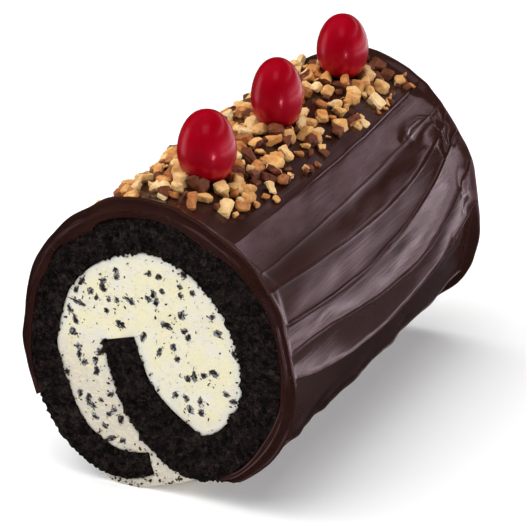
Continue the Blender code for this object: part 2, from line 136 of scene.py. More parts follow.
# Chocolate chips in the front face, in the order top, middle, right and left of the roll's
# tail: x, z, length, width, turn. Smaller ones are scattered between them and at the back.
CHIPS = [
    (-14.5, 26.5, 1.6, 1.0, 80), (-14.5, 24.0, 1.4, 0.9, -20), (-2.5, 27.5, 1.7, 0.9, 70),
    (1.0, 27.0, 1.7, 1.3, 40), (10.0, 29.5, 2.4, 2.0, -30), (8.5, 25.0, 1.0, 0.8, 0),
    (13.0, 23.5, 1.6, 1.0, 60), (9.0, 22.0, 0.9, 0.8, 0), (-19.5, 22.0, 2.2, 1.4, 20),
    (-19.5, 19.5, 2.8, 2.1, -60), (-24.0, 17.5, 2.5, 1.1, 80), (-22.0, 15.5, 1.4, 0.9, 80),
    (-27.5, 20.0, 3.2, 0.9, 60), (-29.5, 17.0, 2.5, 0.8, 55), (-28.5, 12.5, 5.8, 1.0, -14),
    (-32.0, 9.5, 2.7, 1.0, -62), (-30.0, 6.0, 3.8, 1.0, -60), (-31.0, 1.5, 2.7, 2.2, 60),
    (-13.5, 7.5, 3.5, 2.2, -28), (-9.5, 16.5, 3.7, 1.4, -30), (-1.0, 20.5, 2.8, 1.1, 88),
    (0.0, 18.0, 2.8, 1.1, 80), (-3.0, 18.5, 2.0, 0.8, -50), (2.0, 22.0, 1.6, 0.8, -20),
    (-17.5, 15.5, 1.0, 0.8, 0), (-14.5, 16.0, 1.3, 1.0, 0), (-18.5, 11.5, 1.3, 0.7, -30),
    (-5.0, 4.5, 3.5, 1.6, 62), (2.5, 10.5, 2.2, 1.4, 70), (4.5, 10.0, 2.8, 1.3, -30),
    (9.0, 15.0, 2.5, 1.7, 70), (10.0, 9.5, 2.1, 1.3, 20), (11.5, 7.5, 2.4, 1.2, 75),
    (22.0, 11.0, 2.6, 2.2, -20), (20.0, 16.5, 1.6, 1.1, 0), (28.0, 4.5, 2.4, 1.3, -70),
    (6.0, 3.0, 2.2, 1.7, 60), (1.0, 0.5, 4.0, 1.0, 60), (20.5, -3.5, 3.4, 1.9, -10),
    (17.0, -5.0, 2.0, 1.3, -40), (13.5, -6.0, 3.8, 1.2, 85), (11.0, -7.0, 2.1, 1.5, 60),
    (27.5, -12.5, 2.4, 1.3, 0), (6.5, -14.0, 1.9, 1.1, 60), (10.5, -14.5, 2.4, 1.2, -65),
    (12.0, -18.0, 3.1, 1.5, -65), (15.5, -14.5, 3.4, 0.9, 90), (16.0, -18.5, 2.7, 0.9, -80),
    (25.0, -10.0, 1.6, 1.3, 0), (7.5, -1.0, 1.3, 1.0, 0), (-29.0, -3.5, 2.0, 1.5, 60),
    (-29.0, -6.5, 2.4, 1.3, 85), (-27.0, -9.0, 2.4, 1.6, 50), (-21.0, -4.0, 2.9, 2.0, 20),
    (-23.0, -7.5, 2.7, 1.1, 85), (-22.5, -11.0, 3.2, 1.1, 83), (-34.0, -14.0, 1.6, 1.3, -60),
    (-29.0, -20.5, 2.6, 1.2, 85), (-26.0, -21.5, 2.8, 1.0, 75), (-25.0, -24.0, 3.4, 1.0, -30),
    (-21.0, -21.5, 1.2, 0.7, -40), (-17.5, -19.0, 2.7, 0.9, 35), (-18.0, -26.0, 2.7, 0.9, 35),
    (-16.5, -24.5, 1.6, 0.9, 10), (-14.0, -27.5, 3.1, 1.4, 82), (-23.5, -28.0, 3.1, 0.7, -40),
    (-20.0, -31.0, 2.0, 1.0, -40), (-17.5, -35.0, 4.0, 1.0, 22), (-13.5, -35.0, 2.1, 0.9, 25),
]
CHIP_SEED = 5
CHIP_CORNERS = 11
CHIP_SPLINTERS = 6  # beside each chip
CHIP_CRUMBS = 210  # small ones on each cut face
CHIP_CRUMB_LENGTH = (0.45, 1.7)
CHIP_HEIGHT = 0.9
CHIP_RAGGED = (1.45, 0.85)  # a chip's hull over its length and width, as its corners fall short
CHIP_BEHIND = (0.4, 2.4)  # share of crumbs on the back face that are chips, times as long
CHIP_SMALL = 1.1  # shorter ones are browner
CHIP_SHADE = 1.2  # how far round a chip the cream darkens, in ragged chip edges and painted shadow

# The coating reaches from one lower edge over the top to the other, as angles. Then its
# thickness over the sponge: angle, thickness.
COATING_RIGHT = -61.0
COATING_LEFT = 208.0
COATING = [
    (COATING_RIGHT, 1.3), (-52, 3.6), (-30, 5.2), (0, 4.8), (30, 4.6), (55, 5.8), (78, 6.4),
    (92, 5.8), (106, 4.0), (118, 2.7), (135, 2.3), (180, 2.3), (195, 1.8), (COATING_LEFT, 1.1),
]
# Spatula strokes run along the roll between these ridges: the ridge's angle at the front
# face, at one third, at two thirds and at the back face, and the stroke above it as its
# hollow's share of its width and where across it the hollow is deepest, as a share.
RIDGES = [
    ((COATING_RIGHT, -57, -62, -57), 0.05, 0.5),
    ((-35, -38, -36, -30), 0.06, 0.5),
    ((1, -12, -11, 4), 0.055, 0.5),
    ((9.5, 4, 1, 22), 0.05, 0.4),
    ((22, 16, 19.5, 36), 0.04, 0.4),
    ((35.5, 31, 31, 44), 0.08, 0.60),
    ((43, 43, 45, 49), 0.04, 0.5),
    ((58, 57, 58, 61), 0.03, 0.5),
    ((82, 81, 82, 80), 0.02, 0.5),
    ((106, 107, 105, 103), 0.03, 0.5),
    ((122, 126, 123, 116), 0.07, 0.5),
    ((136, 143, 140, 127), 0.09, 0.5),
    ((151, 158, 154, 142), 0.07, 0.5),
    ((167, 175, 172, 160), 0.06, 0.5),
    ((184, 190, 189, 180), 0.05, 0.5),
    ((COATING_LEFT, 212, 206, 205), 0.0, 0.5),
]
RIDGE_RISE = 0.42
RIDGE_WIDTH = 0.38
RIDGE_WANDER = 0.35  # angle
RIDGE_UNEVEN = 0.35  # share of its rise
SHINGLE = 0.28  # how far a stroke stands out over the one below
SHINGLE_UNEVEN = 0.3
# Ridges that differ: how strong, and how far the stroke above stands out. One fades in
# between two distances behind the front face.
RIDGE_LOOKS = {4: (0.9, 0.5), 5: (1.3, 1.6), 6: (0.1, -0.5), 7: (0.5, 0.25), 8: (0.0, 0.0)}
RIDGE_FADES = {7: (40.0, 80.0)}
# Distances from an end between which the strokes rise: in the solids, and with fine relief.
STROKE_START = (1.0, 7.0)
STROKE_START_FINE = (0.3, 2.2)
COATING_STEP = 0.78  # between rows of points, along and across
COLUMN_CLOSING = 0.8  # how much closer the columns stand beside a ridge
LINING_ROWS = 8  # on its side towards the sponge
# Marks where the spatula lifted: places along each as y and angle, half width, height.
CREASES = [
    ([(124, 47), (134, 49.5), (143, 49.5), (149, 46.5), (150, 42), (146, 37.5)], 0.8, 0.55),
    ([(150, 45), (149, 40), (145, 35), (143.5, 30)], 0.6, -0.7),
    ([(153, 44), (151, 38), (147, 33)], 0.9, 0.4),
    ([(116, -14), (127, -9.5), (136, -3.5), (143, -6), (148, -12)], 0.8, 0.5),
    ([(0, -56), (25, -54), (60, -56), (100, -58), (160, -55)], 0.9, 0.35),
    ([(14, 63), (40, 61.5), (74, 61)], 0.5, 0.25),
]
# Hollows: y, angle, half length, half width, turn, depth.
HOLLOWS = [
    (140, 44, 8.0, 3.6, -14, 0.8),
    (139, -10, 8.0, 3.0, 20, 0.8),
    (154, 36, 3.2, 3.4, 0, 0.8),
    (152, 15, 3.0, 3.2, 10, 0.9),
    (153, 4, 3.4, 2.4, 0, 0.7),
    (156, 62, 3.6, 4.0, 0, 0.5),
]
HOLLOW_RIM = (0.4, 1.5, 0.3)  # share of its depth, where as a share of its reach, spread
# Slow and fine waves: height, size round the roll, and that size over their length along it.
WAVES = [(0.45, 13.0, 0.3), (0.15, 5.0, 0.4), (0.035, 1.2, 0.05)]
WAVE_SINK = 0.225
# The lower edge on the right waves: between angles below the +X side, and from the front on.
LOWER_EDGE = (24.0, 34.0)
LOWER_EDGE_START = (3.0, 12.0)
LOWER_EDGE_WAVE = 0.9
# A patch without shine: y and spread, angle and spread.
DULL_PATCH = (20.0, 30.0, 38.0, 7.0)

# The lip of the coating round each cut face.
LIP_REACH = 0.6  # out past the sponge's face
LIP_MOST = 1.38  # the most that it reaches out, inside the solid
LIP_ROWS = 24  # across it, from its inner edge to its crest
LIP_TOP_ROW = 0.975  # where the last of them is, as a share of the thickness
LIP_RISE = [  # how far it stands above the strokes in front: angle, rise
    (COATING_RIGHT, 0.5), (-29, 1.3), (-8, 1.2), (10, 0.4), (35, 0.7), (75, 0.6), (90, 1.3),
    (108, 3.9), (124, 3.4), (137, 2.5), (152, 2.2), (166, 1.7), (180, 0.8), (COATING_LEFT, 0.3),
]
LIP_RISE_BEHIND = [  # and at the back
    (COATING_RIGHT, 0.9), (-32, 2.4), (-16, 2.0), (4, 0.9), (40, 0.9),
    (60, 2.7), (84, 2.7), (104, 1.2), (COATING_LEFT, 0.6),
]
LIP_WIDTH = 3.4  # along the roll, as in the solid
LIP_WIDTHS = [(COATING_RIGHT, 1.3), (60, 1.3), (90, 2.4), (110, 3.4), (COATING_LEFT, 2.2)]
LIP_FLARE = (35.0, 9.0, 5.0)  # where a stroke pulls it back: angle, spread, reach
# Its crest, the valley inside that and an inner ridge: share of its thickness, spread, height.
LIP_FOLDS = [(0.93, 0.06, 0.75), (0.66, 0.15, -0.45), (0.38, 0.07, 0.75)]
# Tongues of coating that hang over the sponge's cut face: angle, spread, length.
LIP_TONGUES = [(121.0, 3.6, 2.0), (128.0, 5.0, 1.4), (152.0, 6.0, 1.2), (66.0, 8.0, 0.9)]
LIP_WAVE = 0.5  # of its inner edge
LIP_ROUGH = 0.2  # slow lumps on its front

# Cherries on top: distance of each behind the front face, width, height.
CHERRIES = [(27.0, 19.7, 25.2), (81.0, 18.1, 25.4), (136.0, 18.7, 24.0)]
CHERRY_X = 5.6
CHERRY_SINK = 0.9
CHERRY_EGG = 0.09  # how much wider its lower half is and its upper half narrower
CHERRY_FULLNESS = 0.86  # 1 for an ellipse, less for fuller ends
CHERRY_SEGMENTS = 64
CHERRY_RINGS = 40
CHERRY_UNEVEN = 0.25
CHERRY_INSET = 0.006  # how far inside the solid it stays, as a share

# Chopped nuts, drawn as in the solids, and smaller bits between them.
NUT_SEED = 11
NUT_COUNT = 150
NUT_TRIES = 16000
NUT_CORNERS = 7  # of the eight of a block
NUT_BAND = (65.0, 118.0)  # angles
NUT_END_MARGIN = 5.0
NUT_END_SLANT = 0.28  # more of it in front for each degree to the right of the top
NUT_LENGTH = (4.6, 8.4)
NUT_WIDTH = (3.6, 5.6)
NUT_HEIGHT = (3.0, 4.8)
NUT_SPACING = 0.62  # smallest distance between two, in lengths
NUT_CHIP = (0.74, 1.0)  # how far its corners are chipped back, as shares
NUT_SINK = 0.22  # share of its height in the coating
NUT_TILT = 26.0
# More of them round the foot of each cherry, at a share of its width from its middle.
NUT_FOOT = 11
NUT_FOOT_AWAY = 0.50
NUT_FOOT_SIZE = ((4.4, 6.6), (3.6, 5.2), (4.8, 6.6))
# Small bits between them, with no rule about their distances.
NUT_BITS_SEED = 12
NUT_BITS = 210
NUT_BIT_BAND = (60.5, 119.0)
NUT_BIT_SIZE = ((1.8, 4.4), (1.4, 3.2), (1.2, 2.8))
# How far a nut's and a bit's edges are broken off, and the cuts of each of their edges.
NUT_BREAK = (0.6, 2)
NUT_BIT_BREAK = (0.28, 1)
NUT_ROUGH = ((0.36, 2.4), (0.26, 0.9))  # lumps on a nut: height, size
NUT_WORN = 0.08  # off all of its faces
NUT_FULLY_ROUGH = 0.5  # pieces with less broken off are smoother
NUT_TONES = {0.16: 0.28, 0.38: 0.36, 0.6: 0.22, 0.95: 0.14}  # pale to dark: share of them
NUT_SKINNED = 0.36  # share with skin
NUT_SKIN_SIDE = 0.45  # least cosine from the skinned side
NUT_EDGE = 26.0  # least angle of an edge that looks sharp

# The studio is dim but for one soft bright wall: its heading, how bright it is at rising
# elevations, and how bright round from its heading, as the cosine. Then the soft lights as
# place in metres, size in metres, power in watts, and whether they light and shine.
WALL_HEADING = (0.75, 0.66, 0.0)
WALL_RISE = [
    (-60, 0.0), (-44, 0.02), (-33, 0.05), (-26, 0.05), (-20, 0.06), (-16, 0.45), (-12, 1.50),
    (-9, 0.20), (-7, 0.20), (-4, 1.20), (1, 0.45), (6, 0.35), (9, 0.05), (12, 0.01),
    (21, 0.01), (24, 0.60), (26, 1.0), (29, 0.25), (32, 0.03), (50, 0.02),
]
WALL_ROUND = [(0.0, 0.03), (0.4, 0.06), (0.5, 0.2), (0.60, 0.5), (0.70, 0.9), (0.78, 1.0)]
WALL_STRENGTH = 2.2
WALL_COLOUR = (1.0, 0.88, 0.94)
FLOOR_SIZE = 8.0
FLOOR_GLOW = 0.14
LIT_POINT = (0, 0, 0.05)
SOFTBOXES = {
    "overhead": ((-0.45, -0.25, 1.5), (2.6, 2.6), 50, True, False),
    "fill": ((1.6, -0.4, 0.7), (1.6, 1.6), 12, True, False),
    "right": ((1.1, 0.5, 0.60), (0.6, 0.8), 2, True, False),
    "left": ((-1.15, -0.35, 0.75), (0.5, 0.8), 5, True, False),
    "left_card": ((-1.15, -0.35, 0.10), (0.55, 0.80), 1.3, False, True),
    "front": ((-0.5, -1.9, 0.7), (1.2, 0.8), 3, True, False),
    "above": ((0.24, -0.77, 0.94), (0.5, 0.5), 0.7, False, True),
    "spark": ((0.26, -0.27, 0.03), (0.05, 0.05), 0.12, False, True),
}


def place(x, y, z):
    """A place in the row frame, in metres."""
    return Vector((x + AXIS_X, y - LENGTH / 2, z + AXIS_HEIGHT)) * MM


def placed(x, y, z):
    """Arrays of them, as rows of points."""
    x, y, z = np.broadcast_arrays(x, y, z)
    points = np.stack([x + AXIS_X, y - LENGTH / 2, z + AXIS_HEIGHT], axis=-1)
    return points.reshape(-1, 3) * MM


LATTICE = np.random.default_rng(3).uniform(-1, 1, (32, 32, 32))


def noise(points, size, seed=0):
    """Smooth noise from -1 to 1, with lumps about as large as the size given."""
    scaled = np.asarray(points, float) / size + seed * 7.31
    cell = np.floor(scaled).astype(int)
    share = scaled - cell
    share = share * share * (3 - 2 * share)
    total = 0.0
    for corner in itertools.product((0, 1), repeat=3):
        weight = np.prod(np.where(corner, share, 1 - share), axis=-1)
        i, j, k = np.moveaxis((cell + corner) % len(LATTICE), -1, 0)
        total = total + weight * LATTICE[i, j, k]
    return total


def line_noise(along, size, seed=0):
    along = np.asarray(along, float)
    return noise(np.stack([along, 0 * along + seed * 3.3, 0 * along], axis=-1), size, seed)


def mesh_object(name, points, faces, *materials, kinds=None, values=None):
    """A smooth mesh inside the solids' box; values are named numbers, one for each point."""
    mesh = bpy.data.meshes.new(name)
    points = np.clip(np.asarray(points), np.array(cad_low) + 1e-5, np.array(cad_high) - 1e-5)
    mesh.from_pydata(points.tolist(), [], [tuple(f) for f in faces])
    for one in materials:
        mesh.materials.append(one)
    if kinds is not None:
        mesh.polygons.foreach_set("material_index", kinds)
    for key, numbers in (values or {}).items():
        mesh.attributes.new(key, "FLOAT", "POINT").data.foreach_set("value", numbers)
    work = bmesh.new()
    work.from_mesh(mesh)
    bmesh.ops.recalc_face_normals(work, faces=work.faces)
    work.to_mesh(mesh)
    work.free()
    mesh.shade_smooth()
    obj = bpy.data.objects.new(name, mesh)
    bpy.context.scene.collection.objects.link(obj)
    return obj


def finished(obj, slot, *nodes):
    """The piece rides on the roll, and stands for the solids named."""
    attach(obj, "root")
    if nodes:
        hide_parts(*nodes)
    return obj


# ---------------------------------------------------------------- materials


def ramp_node(tree, source, stops):
    """Colours or greys at shares of the source, blended between."""
    node = tree.nodes.new("ShaderNodeValToRGB")
    while len(node.color_ramp.elements) < len(stops):
        node.color_ramp.elements.new(0.5)
    for element, (at, colour) in zip(node.color_ramp.elements, stops):
        colour = (colour,) * 3 if isinstance(colour, (int, float)) else colour
        element.position = at
        element.color = (*colour, 1.0)
    tree.links.new(source, node.inputs["Fac"])
    return node.outputs["Color"]


class Shader:
    """A Principled material and the few kinds of node that colour it."""

    def __init__(self, name, **sockets):
        self.material = bpy.data.materials.new(name)
        self.material.use_nodes = True
        self.tree = self.material.node_tree
        self.shader = self.tree.nodes["Principled BSDF"]
        self.place = self.tree.nodes.new("ShaderNodeTexCoord").outputs["Object"]
        for socket, value in sockets.items():
            self.shader.inputs[socket.replace("_", " ")].default_value = value

    def link(self, source, node, socket):
        self.tree.links.new(source, node.inputs[socket])

    def value(self, name):
        """A number that the mesh holds at its points."""
        node = self.tree.nodes.new("ShaderNodeAttribute")
        node.attribute_name = name
        return node.outputs["Fac"]

    def noise(self, size, detail=3.0, roughness=0.5, scale=(1, 1, 1)):
        """Lumps of a size in millimetres, closer along an axis whose scale is larger."""
        stretched = self.tree.nodes.new("ShaderNodeMapping")
        stretched.inputs["Scale"].default_value = scale
        self.link(self.place, stretched, "Vector")
        node = self.tree.nodes.new("ShaderNodeTexNoise")
        node.inputs["Scale"].default_value = 1 / (size * MM)
        node.inputs["Detail"].default_value = detail
        node.inputs["Roughness"].default_value = roughness
        self.link(stretched.outputs["Vector"], node, "Vector")
        return node.outputs["Fac"]

    def ramp(self, source, stops):
        return ramp_node(self.tree, source, stops)

    def mix(self, share, one, other):
        node = self.tree.nodes.new("ShaderNodeMix")
        node.data_type = "RGBA"
        for socket, value in ((0, share), (6, one), (7, other)):
            if isinstance(value, bpy.types.NodeSocket):
                self.tree.links.new(value, node.inputs[socket])
            elif isinstance(value, (int, float)):
                node.inputs[socket].default_value = value
            else:
                node.inputs[socket].default_value = (*value, 1.0)
        return node.outputs[2]

    def bump(self, height, distance, under=None):
        node = self.tree.nodes.new("ShaderNodeBump")
        node.inputs["Distance"].default_value = distance * MM
        self.link(height, node, "Height")
        if under is not None:
            self.link(under, node, "Normal")
        return node.outputs["Normal"]

    def done(self, colour=None, roughness=None, normal=None):
        given = (("Base Color", colour), ("Roughness", roughness), ("Normal", normal))
        for socket, source in given:
            if source is not None:
                self.link(source, self.shader, socket)
        return self.material


def chocolate_material():
    look = Shader("chocolate_coating", IOR=1.5, Specular_Tint=(1.0, 0.62, 0.76, 1.0))
    tone = look.noise(14, detail=4, scale=(1, 0.35, 1))
    colour = look.ramp(tone, [(0.3, (0.022, 0.0074, 0.0052)), (0.72, (0.031, 0.0110, 0.0079))])
    sheen = look.noise(7, detail=5, roughness=0.62, scale=(1, 0.3, 1))
    roughness = look.ramp(sheen, [(0.32, 0.11), (0.68, 0.29)])
    roughness = look.mix(look.value("dull"), roughness, (0.50, 0.50, 0.50))
    shine = look.ramp(look.value("dull"), [(0.0, 0.5), (1.0, 0.12)])
    look.link(shine, look.shader, "Specular IOR Level")
    streaks = look.noise(0.9, detail=3, scale=(1, 0.06, 1))
    return look.done(colour, roughness, look.bump(streaks, 0.05))


def sponge_material():
    look = Shader("sponge_crumb", Specular_IOR_Level=0.15, Roughness=0.9)
    grain = look.noise(0.42, detail=3, roughness=0.7)
    crumb = look.mix(0.80, look.value("crumb"), grain)
    # Dark in the pores and lighter on the crumbs: the crumb's own colour and painted shade in the
    # pores.
    colour = look.ramp(
        crumb,
        [
            (0.38, (0.0006, 0.0003, 0.0004)),
            (0.48, (0.0050, 0.0030, 0.0030)),
            (0.56, (0.0150, 0.0094, 0.0084)),
            (0.64, (0.042, 0.028, 0.022)),
        ],
    )
    return look.done(colour, None, look.bump(grain, 0.4))


def cream_material():
    look = Shader(
        "cream",
        Roughness=0.6,
        Specular_IOR_Level=0.3,
        Subsurface_Weight=0.2,
        Subsurface_Scale=0.002,
        Subsurface_Radius=(1.0, 0.8, 0.5),
    )
    patches = look.noise(9, detail=3)
    inner = look.ramp(patches, [(0.35, (0.79, 0.76, 0.66)), (0.62, (0.82, 0.77, 0.54))])
    colour = look.mix(look.value("inward"), (0.75, 0.74, 0.71), inner)
    # Painted shade: the cut faces turn greyer and darker towards the bottom left.
    colour = look.mix(look.value("low"), colour, (0.62, 0.56, 0.49))
    tears = look.noise(2.4, detail=5, roughness=0.62, scale=(1, 1, 3.2))
    lines = look.ramp(tears, [(0.54, 0.0), (0.59, 1.0), (0.64, 0.0)])
    colour = look.mix(lines, colour, (0.86, 0.78, 0.46))
    # Painted shade: small darker spots stand for the shade in pits of the cream.
    painted_pit_shade = look.ramp(look.noise(1.6, detail=4, roughness=0.7), [(0.30, 0.5), (0.42, 0.0)])
    colour = look.mix(painted_pit_shade, colour, (0.55, 0.50, 0.42))
    specks = look.ramp(look.noise(0.75, detail=2), [(0.68, 0.0), (0.74, 0.8)])
    colour = look.mix(specks, colour, (0.30, 0.17, 0.10))
    # Round each chip the cream turns dark and grey in ragged patches: the chip's own ragged edge
    # and a painted shadow beside it.
    ragged = look.mix(0.55, look.value("shade"), look.noise(1.1, detail=4, roughness=0.7))
    chip_edge_and_shadow = look.ramp(ragged, [(0.53, 0.0), (0.57, 1.0)])
    tints = [(0.42, (0.012, 0.010, 0.010)), (0.60, (0.30, 0.31, 0.33))]
    colour = look.mix(chip_edge_and_shadow, colour, look.ramp(look.noise(1.3, detail=3), tints))
    normal = look.bump(tears, 0.30, under=look.bump(look.noise(0.8, detail=3), 0.10))
    return look.done(colour, None, normal)


def chip_material():
    look = Shader("chocolate_chips", Roughness=0.5)
    tone = look.noise(1.4, detail=3)
    dark = look.ramp(tone, [(0.40, (0.006, 0.0038, 0.0038)), (0.66, (0.050, 0.024, 0.017))])
    brown = look.ramp(tone, [(0.36, (0.020, 0.009, 0.006)), (0.60, (0.16, 0.080, 0.050))])
    colour = look.mix(look.value("small"), dark, brown)
    return look.done(colour, None, look.bump(look.noise(0.4), 0.08))


def cherry_material():
    look = Shader(
        "cherry_skin",
        Roughness=0.26,
        IOR=1.8,
        Specular_Tint=(1.0, 0.12, 0.22, 1.0),
        Coat_Weight=0.17,
        Coat_Roughness=0.06,
        Subsurface_Weight=0.3,
        Subsurface_Scale=0.003,
        Subsurface_Radius=(1.0, 0.08, 0.05),
    )
    tone = look.noise(9, detail=3)
    colour = look.ramp(tone, [(0.3, (0.27, 0.0, 0.005)), (0.7, (0.34, 0.0, 0.009))])
    return look.done(colour, None, look.bump(look.noise(2.5), 0.03))


def nut_material():
    look = Shader("nut", Roughness=0.32, Subsurface_Weight=0.10, Subsurface_Scale=0.0015)
    spots = look.noise(2.4, detail=5, roughness=0.7)
    tone = look.mix(0.46, look.value("tone"), spots)
    colour = look.ramp(
        tone,
        [
            (0.24, (0.82, 0.61, 0.33)),
            (0.36, (0.76, 0.45, 0.17)),
            (0.48, (0.60, 0.26, 0.070)),
            (0.58, (0.36, 0.12, 0.036)),
            (0.70, (0.17, 0.052, 0.022)),
            (0.88, (0.060, 0.016, 0.009)),
        ],
    )
    return look.done(colour, None, look.bump(look.noise(0.8, detail=4, roughness=0.65), 0.25))


def nut_skin_material():
    look = Shader("nut_skin", Roughness=0.5)
    spots = look.noise(1.6, detail=4)
    colour = look.ramp(spots, [(0.35, (0.050, 0.011, 0.007)), (0.68, (0.20, 0.050, 0.020))])
    return look.done(colour, None, look.bump(look.noise(0.6, detail=4), 0.15))


def floor_material():
    look = Shader("floor", Roughness=0.8, Specular_IOR_Level=0.1)
    look.shader.inputs["Base Color"].default_value = (0.90, 0.90, 0.90, 1.0)
    look.shader.inputs["Emission Color"].default_value = (1.0, 1.0, 1.0, 1.0)
    look.shader.inputs["Emission Strength"].default_value = FLOOR_GLOW
    return look.done()


# ---------------------------------------------------------------- the sponge and the cream


def smooth_line(stations, count):
    """A Catmull-Rom curve through the stations, as evenly spaced rows."""
    stations = np.array(stations, float)
    ends = [2 * stations[0] - stations[1], *stations, 2 * stations[-1] - stations[-2]]
    rows = []
    for a, b, c, d in zip(ends, ends[1:], ends[2:], ends[3:]):
        t = np.linspace(0, 1, 24, endpoint=False)[:, None]
        rows.append(
            b
            + t * (c - a) / 2
            + t**2 * (2 * a - 5 * b + 4 * c - d) / 2
            + t**3 * (3 * b - a - 3 * c + d) / 2
        )
    dense = np.vstack([*rows, stations[-1:]])
    steps = np.linalg.norm(np.diff(dense[:, :2], axis=0), axis=1)
    along = np.concatenate([[0], np.cumsum(steps)])
    wanted = np.linspace(0, along[-1], count)
    return np.stack([np.interp(wanted, along, column) for column in dense.T], axis=1)


def polar(angle, radius):
    angle = np.radians(angle)
    return np.stack([np.cos(angle) * radius, np.sin(angle) * radius], axis=-1)


@functools.cache
def sponge_strip():
    """The strip's middle line, its directions ahead and outward, and its half thickness."""
    ring = [(*polar(angle, radius), thickness) for angle, radius, thickness in SPONGE_RING]
    line = smooth_line(ring + SPONGE_TAIL, STRIP_STATIONS)
    middle, half = line[:, :2], line[:, 2] / 2
    ahead = np.gradient(middle, axis=0)
    ahead /= np.linalg.norm(ahead, axis=1)[:, None]
    outward = np.stack([-ahead[:, 1], ahead[:, 0]], axis=1)
    return middle, ahead, outward, half


def strip_sides(clearance=0.0):
    """The strip's outer and inner side, with its two ends, moved out by the clearance."""
    middle, ahead, outward, half = sponge_strip()
    middle = middle.copy()
    middle[0] -= ahead[0] * clearance
    middle[-1] += ahead[-1] * clearance
    reach = (half + clearance)[:, None]
    return middle + outward * reach, middle - outward * reach


def nearest(rows, point, first, last):
    return first + int(np.argmin(np.linalg.norm(rows[first:last] - point, axis=1)))


@functools.cache
def ring_table():
    """Angles round the sponge's outer side, rising, and how far it is from the axis."""
    outer, _ = strip_sides()
    ring = outer[: nearest(outer, OOZE_RIGHT, STRIP_STATIONS // 2, STRIP_STATIONS)][::-1]
    around = np.degrees(np.unwrap(np.arctan2(ring[:, 1], ring[:, 0])))
    around += 360 * round((90 - around.mean()) / 360)
    return around, np.linalg.norm(ring, axis=1)


def sponge_radius(angle):
    return np.interp(angle, *ring_table())


def crumb(points):
    """Crumbs from 0 in the pores to 1; the sponge's colour darkens with them, partly as painted
    shade in the pores.
    """
    rough = sum(strength * noise(points, size, i) for i, (strength, size) in enumerate(CRUMBS))
    return np.clip(0.5 + CRUMB_CONTRAST * rough, 0, 1)


def side_rows(near, far, share):
    """Distances behind the front face: close rows within share of each end, wide ones between."""
    end = np.arange(0, share, near)
    middle = np.linspace(share, LENGTH - share, int((LENGTH - 2 * share) / far) + 1)
    return np.concatenate([end, middle, LENGTH - end[::-1]])


def sponge_relief(points, share, half):
    """Crumbs on the strip, how far its sides stand out, and how far its cut faces sink."""
    x, y, z = np.moveaxis(points, -1, 0)
    rough = crumb(points)
    to_edge = np.clip(1 - (1 - np.abs(share)) * half / STRIP_EDGE, 0, 1)
    station = np.arange(len(points))[:, None] / len(points)
    below = np.degrees(np.arctan2(-z, -x))
    bare = step_up(below, *BARE_OUTSIDE) * (station < 1 / 3) * (share > 0)
    creamy = (share < 0) | (station > CREAM_ROUND_TAIL)
    creamy = creamy * np.exp(-((np.minimum(y, LENGTH - y) / CRUMB_FADE) ** 2))
    over_cream = creamy * CRUMB_EDGE * (2.0 * rough - 0.85 + 0.9 * noise(points, 3.2, 9))
    out = to_edge**2 * (over_cream + bare * CRUMB_BARE * (rough - 0.55))
    depth = CRUMB_DEPTH * (1 - 0.6 * to_edge) + CRUMB_ROUND * to_edge**3
    return rough, out, depth * (1 - rough)


def make_sponge():
    """The strip as a lattice: at each station once round front face, skin, back face, inside."""
    middle, _, outward, half = sponge_strip()
    even = np.linspace(-1, 1, STRIP_ROWS)
    across = STRIP_ROUND * np.sin(even * np.pi / 2) + (1 - STRIP_ROUND) * even
    skin = side_rows(*SKIN_ROWS)[1:-1]
    within = np.array(INNER_ROWS)
    within = np.concatenate([LENGTH - within, within[::-1]])
    share = np.concatenate([across, 0 * skin + 1, across[::-1], 0 * within - 1])
    y = np.concatenate([0 * across, skin, 0 * across + LENGTH, within])
    face = np.concatenate([0 * across + 1, 0 * skin, 0 * across - 1, 0 * within])
    half = half[:, None]
    x, z = np.moveaxis(middle[:, None] + outward[:, None] * (half * share)[..., None], -1, 0)
    points = np.stack([x, np.broadcast_to(y, x.shape), z], axis=-1)
    rough, out, depth = sponge_relief(points, share, half)
    out = np.sign(share) * out
    y = y + face * depth
    faces = lattice_faces(*y.shape) + end_caps(y, share * half)
    points = placed(x + outward[:, :1] * out, y, z + outward[:, 1:] * out)
    # The crumbs also set the sponge's colour, dark in the pores as painted shade.
    crumbs = {"crumb": rough.reshape(-1)}
    return mesh_object("sponge_roll", points, faces, sponge_material(), values=crumbs)


def lattice_faces(loops, count):
    """Quads between neighbouring closed loops of points."""
    i, j = np.meshgrid(np.arange(loops - 1), np.arange(count), indexing="ij")
    k = (j + 1) % count
    quads = [i * count + j, i * count + k, (i + 1) * count + k, (i + 1) * count + j]
    return np.stack(quads, axis=-1).reshape(-1, 4).tolist()


def end_caps(across, up):
    """Faces that close the first and the last loop of a lattice, by its places in them."""
    faces = []
    for row, first in ((0, 0), (-1, across.size - across.shape[1])):
        loop = [Vector((a, b, 0)) for a, b in zip(across[row], up[row])]
        faces += [tuple(first + i for i in t) for t in geometry.tessellate_polygon([loop])]
    return faces


def ooze_line(widening):
    low = np.array(OOZE_AT_FACE) * (1 - widening) + np.array(OOZE_INSIDE) * widening
    return smooth_line(low, OOZE_STEPS)


def filling_outline(widening):
    """Inside the ring, round the tail, out of the seam, and under the outer end."""
    outer, inner = strip_sides(GAP * 0.6)
    half_way = STRIP_STATIONS // 2
    leaves = nearest(outer, OOZE_RIGHT, half_way, STRIP_STATIONS)
    returns = nearest(outer, OOZE_LEFT, 0, half_way)
    return np.vstack([inner, outer[leaves:][::-1], ooze_line(widening), outer[: returns + 1][::-1]])


def inside(outline, points):
    """True for each point inside the outline."""
    crossings = np.zeros(len(points), int)
    for (x1, z1), (x2, z2) in zip(outline, np.roll(outline, -1, axis=0)):
        spans = (z1 > points[:, 1]) != (z2 > points[:, 1])
        if z1 != z2:
            crossings += spans & (points[:, 0] < x1 + (points[:, 1] - z1) * (x2 - x1) / (z2 - z1))
    return crossings % 2 == 1


